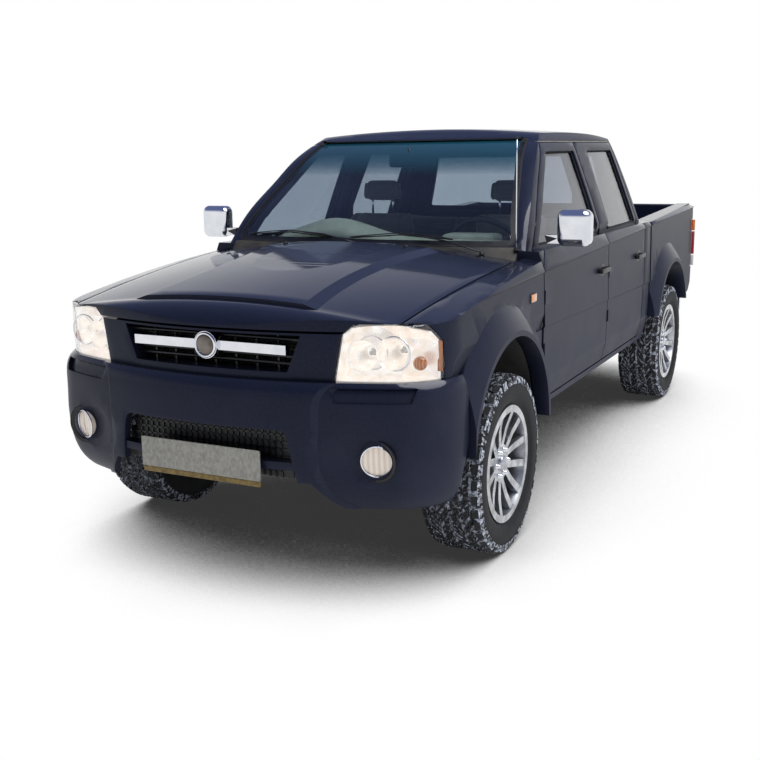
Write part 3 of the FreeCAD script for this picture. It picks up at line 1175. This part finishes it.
tub_room = drum(TUB_HALF_WIDTH + LINER_THICKNESS, bed_inner + OVERRUN, REAR_AXLE, ARCH_CENTRE_HEIGHT, ARCH_RADIUS)
rail_top = RAIL_REAR_HEIGHT + RAIL_HEIGHT
for station in (3600.0, 4150.0, 4480.0):
    bed_floor = bed_floor.fuse(block(-TUB_HALF_WIDTH, TUB_HALF_WIDTH, station, station + 60.0, rail_top,
                                     BED_FLOOR_HEIGHT - BED_FLOOR_THICKNESS))
bed = bed_floor.fuse(headboard).fuse(tub).fuse(mirrored(tub)).cut(tub_room).cut(mirrored(tub_room))
parts["bed_floor"] = bed.removeSplitter()

gate_half = bed_inner_wall - PANEL_GAP
tailgate = block(-gate_half, gate_half, BED_REAR_STATION - TAILGATE_THICKNESS, BED_REAR_STATION,
                 gate_low, BED_RAIL_REAR_HEIGHT - PANEL_GAP / 2)
tailgate = rounded(tailgate, GATE_ROUNDING, lambda edge: runs_along(edge, ACROSS) and
                   edge.BoundBox.ZMin > BED_RAIL_HEIGHT)
gate_panel_half = gate_half - GATE_PANEL_BORDER
gate_panel = block(-gate_panel_half, gate_panel_half, BED_REAR_STATION - GATE_PANEL_DEPTH,
                   BED_REAR_STATION + OVERRUN, gate_low + GATE_PANEL_BORDER,
                   BED_RAIL_REAR_HEIGHT - GATE_PANEL_TOP_BORDER)
gate_panel = rounded(gate_panel, GATE_PANEL_BORDER / 2, lambda edge: runs_along(edge, ALONG))
handle_top = BED_RAIL_REAR_HEIGHT - GATE_HANDLE_DROP
handle_room = block(-GATE_HANDLE_HALF_WIDTH, GATE_HANDLE_HALF_WIDTH, BED_REAR_STATION - GATE_HANDLE_DEPTH,
                    BED_REAR_STATION + OVERRUN, handle_top - GATE_HANDLE_HEIGHT, handle_top)
handle_room = rounded(handle_room, GATE_HANDLE_DEPTH, lambda edge: runs_along(edge, ALONG))
tailgate = tailgate.cut(gate_panel).cut(handle_room)
trunnions = drum(-bed_inner_wall - TRUNNION_LENGTH, bed_inner_wall + TRUNNION_LENGTH, *gate_axis, TRUNNION_RADIUS)
trunnions = trunnions.cut(drum(-gate_half + OVERRUN, gate_half - OVERRUN, *gate_axis, TRUNNION_RADIUS + OVERRUN))
parts["tailgate"] = tailgate.fuse(trunnions).removeSplitter()

bumper_rear_front = rail_line[-1][0]
rear_bumper_outline = ((bumper_rear_front, REAR_BUMPER_BOTTOM_HEIGHT),
                       (OVERALL_LENGTH - REAR_BUMPER_LIP, REAR_BUMPER_BOTTOM_HEIGHT),
                       (OVERALL_LENGTH, REAR_BUMPER_BOTTOM_HEIGHT + REAR_BUMPER_LIP),
                       (OVERALL_LENGTH, REAR_BUMPER_TOP_HEIGHT - REAR_BUMPER_LIP),
                       (OVERALL_LENGTH - REAR_BUMPER_LIP / 2, REAR_BUMPER_TOP_HEIGHT),
                       (bumper_rear_front, REAR_BUMPER_TOP_HEIGHT))
rear_bumper_plan = ((-REAR_BUMPER_HALF_WIDTH, bumper_rear_front), (REAR_BUMPER_HALF_WIDTH, bumper_rear_front),
                    (REAR_BUMPER_HALF_WIDTH, OVERALL_LENGTH - REAR_BUMPER_CORNER),
                    (REAR_BUMPER_HALF_WIDTH - REAR_BUMPER_CORNER, OVERALL_LENGTH),
                    (REAR_BUMPER_CORNER - REAR_BUMPER_HALF_WIDTH, OVERALL_LENGTH),
                    (-REAR_BUMPER_HALF_WIDTH, OVERALL_LENGTH - REAR_BUMPER_CORNER))
rear_bumper = side_prism(rear_bumper_outline, -REAR_BUMPER_HALF_WIDTH, REAR_BUMPER_HALF_WIDTH)
rear_bumper = rear_bumper.common(plan_prism(rear_bumper_plan, REAR_BUMPER_BOTTOM_HEIGHT, REAR_BUMPER_TOP_HEIGHT))
step_top = REAR_BUMPER_TOP_HEIGHT - STEP_DROP
step_room = block(-STEP_HALF_WIDTH, STEP_HALF_WIDTH, OVERALL_LENGTH - STEP_DEPTH, OVERALL_LENGTH + OVERRUN,
                  step_top, REAR_BUMPER_TOP_HEIGHT + OVERRUN)
step_room = rounded(step_room, STEP_DROP / 2, lambda edge: runs_along(edge, ALONG) and
                    edge.BoundBox.ZMax < REAR_BUMPER_TOP_HEIGHT)
tow_hole = Part.makeCylinder(TOW_HOLE_RADIUS, REAR_BUMPER_TOP_HEIGHT,
                             at(0, OVERALL_LENGTH - TOW_HOLE_INSET, 0), UP)
parts["rear_bumper"] = rear_bumper.cut(step_room).cut(tow_hole)


# Wheels
def section_solid(points, station):
    """A ring turned about a wheel's axle from points of (x, radius)."""
    face = polygon([at(x, station, WHEEL_CENTRE_HEIGHT + radius) for x, radius in points])
    return face.revolve(at(0, station, WHEEL_CENTRE_HEIGHT), ACROSS, FULL_TURN)


def tyre(station):
    outer = WHEEL_OUTER_FACE
    inner = outer - TYRE_WIDTH
    shoulder = TYRE_SHOULDER
    bead = outer - TYRE_BEAD_INSET
    inner_bead = inner + TYRE_BEAD_INSET
    lip = RIM_LIP_RADIUS + SEAT_GAP
    bulge = RIM_LIP_RADIUS + TYRE_BEAD_INSET
    wall = TYRE_RADIUS - 2 * shoulder
    half = shoulder / 2
    points = ((inner_bead, RIM_RADIUS + SEAT_GAP), (bead, RIM_RADIUS + SEAT_GAP), (bead, lip),
              (outer - half / 2, bulge), (outer, (bulge + wall) / 2), (outer - half / 2, wall),
              (outer - half, TYRE_RADIUS - half), (outer - shoulder, TYRE_RADIUS), (inner + shoulder, TYRE_RADIUS),
              (inner + half, TYRE_RADIUS - half), (inner + half / 2, wall), (inner, (bulge + wall) / 2),
              (inner + half / 2, bulge), (inner_bead, lip))
    return section_solid(points, station)


def polar(station, radius, degrees, x):
    """A point at a radius and an angle from a wheel's axle."""
    angle = math.radians(degrees)
    return at(x, station + radius * math.sin(angle), WHEEL_CENTRE_HEIGHT + radius * math.cos(angle))


def spoke_bar(station, hub_angle, rim_angle, x):
    """One bar of a spoke pair, broad at the hub and narrow at the rim."""
    foot = HUB_RADIUS - RIM_BARREL_THICKNESS
    tip = RIM_RADIUS - RIM_BARREL_THICKNESS / 2
    corners = [polar(station, foot, hub_angle - SPOKE_HUB_SPREAD, x),
               polar(station, foot, hub_angle + SPOKE_HUB_SPREAD, x),
               polar(station, tip, rim_angle + SPOKE_RIM_SPREAD, x),
               polar(station, tip, rim_angle - SPOKE_RIM_SPREAD, x)]
    return polygon(corners).extrude(Vector(WHEEL_OUTER_FACE - x, 0, 0))


def rim(station):
    outer = WHEEL_OUTER_FACE - RIM_EDGE_INSET
    inner = WHEEL_OUTER_FACE - TYRE_WIDTH + RIM_EDGE_INSET
    bead = WHEEL_OUTER_FACE - TYRE_BEAD_INSET + SEAT_GAP
    inner_bead = WHEEL_OUTER_FACE - TYRE_WIDTH + TYRE_BEAD_INSET - SEAT_GAP
    t = RIM_BARREL_THICKNESS
    barrel = section_solid(((inner, RIM_RADIUS - t), (outer, RIM_RADIUS - t), (outer, RIM_LIP_RADIUS),
                            (bead, RIM_LIP_RADIUS), (bead, RIM_RADIUS), (inner_bead, RIM_RADIUS),
                            (inner_bead, RIM_LIP_RADIUS), (inner, RIM_LIP_RADIUS)), station)
    face_x = outer - DISH_DEPTH
    tip = RIM_RADIUS - t / 2
    middle = (HUB_RADIUS + tip) / 2
    front = ((face_x, 0.0), (face_x, HUB_RADIUS), (face_x + DISH_BULGE, middle), (outer - DISH_BULGE / 2, tip))
    back = tuple((x - SPOKE_THICKNESS, radius) for x, radius in reversed(front))
    dish = section_solid(front + back, station)
    bars = []
    for index in range(SPOKE_PAIRS):
        turn = index * FULL_TURN / SPOKE_PAIRS
        for way in SIDES:
            bars.append(spoke_bar(station, turn + way * SPOKE_HUB_ANGLE, turn + way * SPOKE_RIM_ANGLE,
                                  face_x - SPOKE_THICKNESS))
    spokes = bars[0].multiFuse(bars[1:]).common(dish)
    hub = drum(face_x - HUB_DEPTH, face_x, station, WHEEL_CENTRE_HEIGHT, HUB_RADIUS)
    wheel = barrel.fuse(spokes).fuse(hub)
    bore = drum(0, face_x - HUB_CAP_THICKNESS, station, WHEEL_CENTRE_HEIGHT, HUB_BORE_RADIUS)
    return wheel.cut(bore).removeSplitter()


front_tyre = tyre(FRONT_AXLE)
rear_tyre = tyre(REAR_AXLE)
front_rim = rim(FRONT_AXLE)
rear_rim = rim(REAR_AXLE)
for side, name in zip(SIDES, ("left", "right")):
    parts["front_tyre_" + name] = on_side(front_tyre, side)
    parts["rear_tyre_" + name] = on_side(rear_tyre, side)
    parts["front_rim_" + name] = on_side(front_rim, side)
    parts["rear_rim_" + name] = on_side(rear_rim, side)

stub_end = WHEEL_OUTER_FACE - RIM_EDGE_INSET - DISH_DEPTH - 2 * HUB_CAP_THICKNESS
upright_reach = BALL_JOINT_SPREAD - ARM_THICKNESS / 2 - PIVOT_GAP
upright = block(KINGPIN_HALF_WIDTH - 22.0, KINGPIN_HALF_WIDTH + 22.0, FRONT_AXLE - 34.0, FRONT_AXLE + 34.0,
                WHEEL_CENTRE_HEIGHT - upright_reach, WHEEL_CENTRE_HEIGHT + upright_reach)
stub = drum(KINGPIN_HALF_WIDTH, stub_end, FRONT_AXLE, WHEEL_CENTRE_HEIGHT, STUB_RADIUS)
disc = drum(DISC_HALF_WIDTH, DISC_HALF_WIDTH + DISC_THICKNESS, FRONT_AXLE, WHEEL_CENTRE_HEIGHT, DISC_RADIUS)
pin_reach = BALL_JOINT_SPREAD + ARM_THICKNESS
kingpin = Part.makeCylinder(KINGPIN_RADIUS, 2 * pin_reach,
                            at(KINGPIN_HALF_WIDTH, FRONT_AXLE, WHEEL_CENTRE_HEIGHT - pin_reach), UP)
knuckle = upright.fuse(stub).fuse(disc).fuse(kingpin).removeSplitter()
for side, name in zip(SIDES, ("left", "right")):
    parts["knuckle_" + name] = on_side(knuckle, side)

rail_side = RAIL_CENTRE + RAIL_WIDTH / 2
arm_root = rail_side + ARM_ROOT_LENGTH
arm_outline = ((rail_side, FRONT_AXLE - ARM_HALF_SPREAD), (arm_root, FRONT_AXLE - ARM_HALF_SPREAD),
               (KINGPIN_HALF_WIDTH, FRONT_AXLE - ARM_EYE_RADIUS), (KINGPIN_HALF_WIDTH, FRONT_AXLE + ARM_EYE_RADIUS),
               (arm_root, FRONT_AXLE + ARM_HALF_SPREAD), (rail_side, FRONT_AXLE + ARM_HALF_SPREAD))
arm_window = ((arm_root, FRONT_AXLE - ARM_HALF_SPREAD + ARM_ROOT_LENGTH),
              (KINGPIN_HALF_WIDTH - 2 * ARM_EYE_RADIUS, FRONT_AXLE),
              (arm_root, FRONT_AXLE + ARM_HALF_SPREAD - ARM_ROOT_LENGTH))
linkage = block(rail_side, rail_side + ARM_BRACKET_THICKNESS, FRONT_AXLE - ARM_HALF_SPREAD,
                FRONT_AXLE + ARM_HALF_SPREAD, WHEEL_CENTRE_HEIGHT - BALL_JOINT_SPREAD - ARM_THICKNESS,
                WHEEL_CENTRE_HEIGHT + BALL_JOINT_SPREAD + ARM_THICKNESS)
for z in (WHEEL_CENTRE_HEIGHT - BALL_JOINT_SPREAD, WHEEL_CENTRE_HEIGHT + BALL_JOINT_SPREAD):
    low, high = z - ARM_THICKNESS / 2, z + ARM_THICKNESS / 2
    arm = plan_prism(arm_outline, low, high).cut(plan_prism(arm_window, low - OVERRUN, high + OVERRUN))
    eye = Part.makeCylinder(ARM_EYE_RADIUS, ARM_THICKNESS, at(KINGPIN_HALF_WIDTH, FRONT_AXLE, low))
    pin_hole = Part.makeCylinder(KINGPIN_RADIUS + PIVOT_GAP, 3 * ARM_THICKNESS,
                                 at(KINGPIN_HALF_WIDTH, FRONT_AXLE, low - ARM_THICKNESS))
    linkage = linkage.fuse(arm.fuse(eye).cut(pin_hole))
linkage = linkage.removeSplitter()
parts["suspension_arms"] = joined([linkage, mirrored(linkage)])

axle_half = ((0.0, DIFF_RADIUS), (60.0, 0.94 * DIFF_RADIUS), (115.0, 0.7 * DIFF_RADIUS),
             (165.0, AXLE_TUBE_RADIUS), (DISC_HALF_WIDTH - 40.0, AXLE_TUBE_RADIUS),
             (DISC_HALF_WIDTH - 40.0, DISC_RADIUS), (DISC_HALF_WIDTH + DISC_THICKNESS, DISC_RADIUS),
             (DISC_HALF_WIDTH + DISC_THICKNESS, STUB_RADIUS), (stub_end, STUB_RADIUS), (stub_end, 0.0))
axle_line = tuple((-x, radius) for x, radius in reversed(axle_half[1:])) + axle_half
axle = section_solid(axle_line, REAR_AXLE)
parts["rear_axle"] = axle

SPRING_WIDTH = 64.0
SPRING_THICKNESS = 34.0
SPRING_FRONT = (3300.0, 352.0)
SPRING_REAR = (4440.0, 430.0)


def spring(x):
    low = WHEEL_CENTRE_HEIGHT - AXLE_TUBE_RADIUS - SEAT_GAP
    top = [at(x, SPRING_FRONT[0], SPRING_FRONT[1]), at(x, REAR_AXLE, low), at(x, *SPRING_REAR)]
    under = [point - Vector(0, 0, SPRING_THICKNESS) for point in top]
    edges = [arc(*top), line(top[2], under[2]), arc(under[2], under[1], under[0]), line(under[0], top[0])]
    leaf = Part.Face(Part.Wire(edges)).extrude(Vector(SPRING_WIDTH, 0, 0))
    front = block(x, x + SPRING_WIDTH, SPRING_FRONT[0], SPRING_FRONT[0] + 40.0, SPRING_FRONT[1] - 10.0, 436.0)
    back = block(x, x + SPRING_WIDTH, SPRING_REAR[0] - 40.0, SPRING_REAR[0], SPRING_REAR[1] - 30.0, RAIL_REAR_HEIGHT)
    return leaf.fuse(front).fuse(back)


left_spring = spring(RAIL_CENTRE - SPRING_WIDTH / 2)
left_spring = left_spring.cut(rail).removeSplitter()
parts["leaf_springs"] = joined([left_spring, mirrored(left_spring)])

shaft_start = at(0, ENGINE_REAR_STATION + 4.0, 470.0)
shaft_end = at(0, REAR_AXLE - DIFF_RADIUS - SEAT_GAP, WHEEL_CENTRE_HEIGHT)
shaft = Part.makeCylinder(36.0, (shaft_end - shaft_start).Length, shaft_start, shaft_end - shaft_start)
for station in (1320.0, 2250.0, 3180.0):
    shaft_room = block(-60.0, 60.0, station - OVERRUN, station + CROSSMEMBER_WIDTH + OVERRUN,
                       300.0, 545.0)
    parts["chassis_frame"] = parts["chassis_frame"].cut(shaft_room)
parts["propshaft"] = shaft
parts["fuel_tank"] = block(90.0, rail_inner - SEAT_GAP, 2400.0, 3150.0, 300.0, RAIL_MIDDLE_HEIGHT + 100.0)

EXHAUST_RADIUS = 26.0
MUFFLER_RADIUS = 80.0
EXHAUST_PLACE = -250.0
exhaust_line = ((1120.0, 393.0), (1400.0, 350.0), (3300.0, 350.0), (3560.0, 470.0), (4120.0, 470.0), (4640.0, 455.0))
exhaust_path = Part.makePolygon([at(EXHAUST_PLACE, *place) for place in exhaust_line])
first_way = at(0, *exhaust_line[1]) - at(0, *exhaust_line[0])
section = Part.Wire(Part.makeCircle(EXHAUST_RADIUS, at(EXHAUST_PLACE, *exhaust_line[0]), first_way))
pipe = exhaust_path.makePipeShell([section], True, True, 2)
muffler = Part.makeCylinder(MUFFLER_RADIUS, 600.0, at(EXHAUST_PLACE, 2400.0, 350.0), ALONG)
hanger_half = 8.0
middle_hanger = block(EXHAUST_PLACE - hanger_half, EXHAUST_PLACE + hanger_half, 2260.0, 2280.0,
                      350.0, RAIL_MIDDLE_HEIGHT + 20.0)
rear_hanger = block(EXHAUST_PLACE - hanger_half, EXHAUST_PLACE + hanger_half, 4270.0, 4290.0,
                    466.0, RAIL_REAR_HEIGHT + 20.0)
parts["exhaust"] = pipe.fuse(muffler).fuse(middle_hanger).fuse(rear_hanger).removeSplitter()


# Inside the cab
def seat(x, station, width, height):
    cushion = block(x - width / 2, x + width / 2, station - 250.0, station + 250.0,
                    FLOOR_HEIGHT + TUNNEL_HEIGHT + 10.0, SEAT_HEIGHT)
    back = block(x - width / 2, x + width / 2, station + 250.0 - SEAT_THICKNESS, station + 250.0, SEAT_HEIGHT, height)
    return cushion.fuse(back).removeSplitter()


def headrest(x, station):
    rest = block(x - 130.0, x + 130.0, station + 130.0, station + 230.0, SEAT_BACK_HEIGHT, HEADREST_HEIGHT)
    return rounded(rest, 30.0, lambda edge: runs_along(edge, ALONG))


parts["front_seats"] = joined([seat(side * SEAT_PLACE, FRONT_SEAT_STATION, SEAT_WIDTH, SEAT_BACK_HEIGHT).fuse(
    headrest(side * SEAT_PLACE, FRONT_SEAT_STATION)) for side in SIDES])
parts["rear_seat"] = seat(0, REAR_SEAT_STATION, 1280.0, SEAT_BACK_HEIGHT - 60.0)
dash_outline = ((FIREWALL_STATION, 760.0), (DASH_REAR_STATION - 120.0, 760.0), (DASH_REAR_STATION, 860.0),
                (DASH_REAR_STATION - 20.0, 1080.0), (DASH_REAR_STATION - 110.0, DASH_TOP_HEIGHT),
                (FIREWALL_STATION, scuttle_low))
DASH_HALF_WIDTH = 664.0
dash = side_prism(dash_outline, -DASH_HALF_WIDTH, DASH_HALF_WIDTH)
column_way = Vector(0, -math.cos(math.radians(STEERING_TILT_DEGREES)), -math.sin(math.radians(STEERING_TILT_DEGREES)))
wheel_centre = at(SEAT_PLACE, STEERING_WHEEL_STATION, STEERING_WHEEL_HEIGHT)
column = Part.makeCylinder(COLUMN_RADIUS, 260.0, wheel_centre + column_way * 40.0, column_way)
column_bore = Part.makeCylinder(12.0 + PIVOT_GAP, 60.0, wheel_centre, column_way)
parts["dashboard"] = dash.fuse(column).cut(column_bore).removeSplitter()
grip = Part.makeTorus(STEERING_WHEEL_RADIUS, STEERING_GRIP_RADIUS, wheel_centre, column_way)
boss = Part.makeCylinder(60.0, 34.0, wheel_centre - column_way * 10.0, column_way)
shaft_pin = Part.makeCylinder(12.0, 44.0, wheel_centre + column_way * 10.0, column_way)
wheel = grip.fuse(boss).fuse(shaft_pin)
for degrees in (0.0, 120.0, 240.0):
    spoke = Part.makeCylinder(12.0, STEERING_WHEEL_RADIUS, wheel_centre, UP.cross(column_way).cross(column_way))
    spoke.rotate(wheel_centre, column_way, degrees)
    wheel = wheel.fuse(spoke)
parts["steering_wheel"] = wheel.removeSplitter()

# Mirrors on the front doors
mirror = block(MIRROR_INNER, MIRROR_OUTER, MIRROR_STATION - MIRROR_DEPTH / 2, MIRROR_STATION + MIRROR_DEPTH / 2,
               MIRROR_BOTTOM_HEIGHT, MIRROR_TOP_HEIGHT)
mirror = rounded(mirror, MIRROR_ROUNDING, lambda edge: True)
glass_room = block(MIRROR_INNER + MIRROR_BORDER, MIRROR_OUTER - MIRROR_BORDER,
                   MIRROR_STATION + MIRROR_DEPTH / 2 - MIRROR_GLASS_RECESS, MIRROR_STATION + MIRROR_DEPTH,
                   MIRROR_BOTTOM_HEIGHT + MIRROR_BORDER, MIRROR_TOP_HEIGHT - MIRROR_BORDER)
glass_room = rounded(glass_room, MIRROR_BORDER, lambda edge: runs_along(edge, ALONG))
mirror = mirror.cut(glass_room)
foot_rear = MIRROR_STATION + MIRROR_FOOT_LENGTH / 2
foot = block(MIRROR_INNER - MIRROR_FOOT_REACH, MIRROR_INNER + MIRROR_ROUNDING, foot_rear - MIRROR_FOOT_LENGTH,
             foot_rear, MIRROR_BOTTOM_HEIGHT + MIRROR_FOOT_THICKNESS / 2, MIRROR_BOTTOM_HEIGHT + 2 * MIRROR_FOOT_THICKNESS)
mirror = mirror.fuse(foot).cut(house).cut(hull).removeSplitter()
for side, name in zip(SIDES, ("left", "right")):
    parts["mirror_" + name] = on_side(mirror, side)

os.makedirs("parts", exist_ok=True)
for name, shape in parts.items():
    shape.exportStep("parts/" + name + ".step")
    box = shape.BoundBox
    print(name, shape.isValid(), len(shape.Solids), round(shape.Volume / 1e6, 2),
          [round(v) for v in (box.XMin, box.XMax, box.YMin + OVERALL_LENGTH / 2,
                              box.YMax + OVERALL_LENGTH / 2, box.ZMin, box.ZMax)])
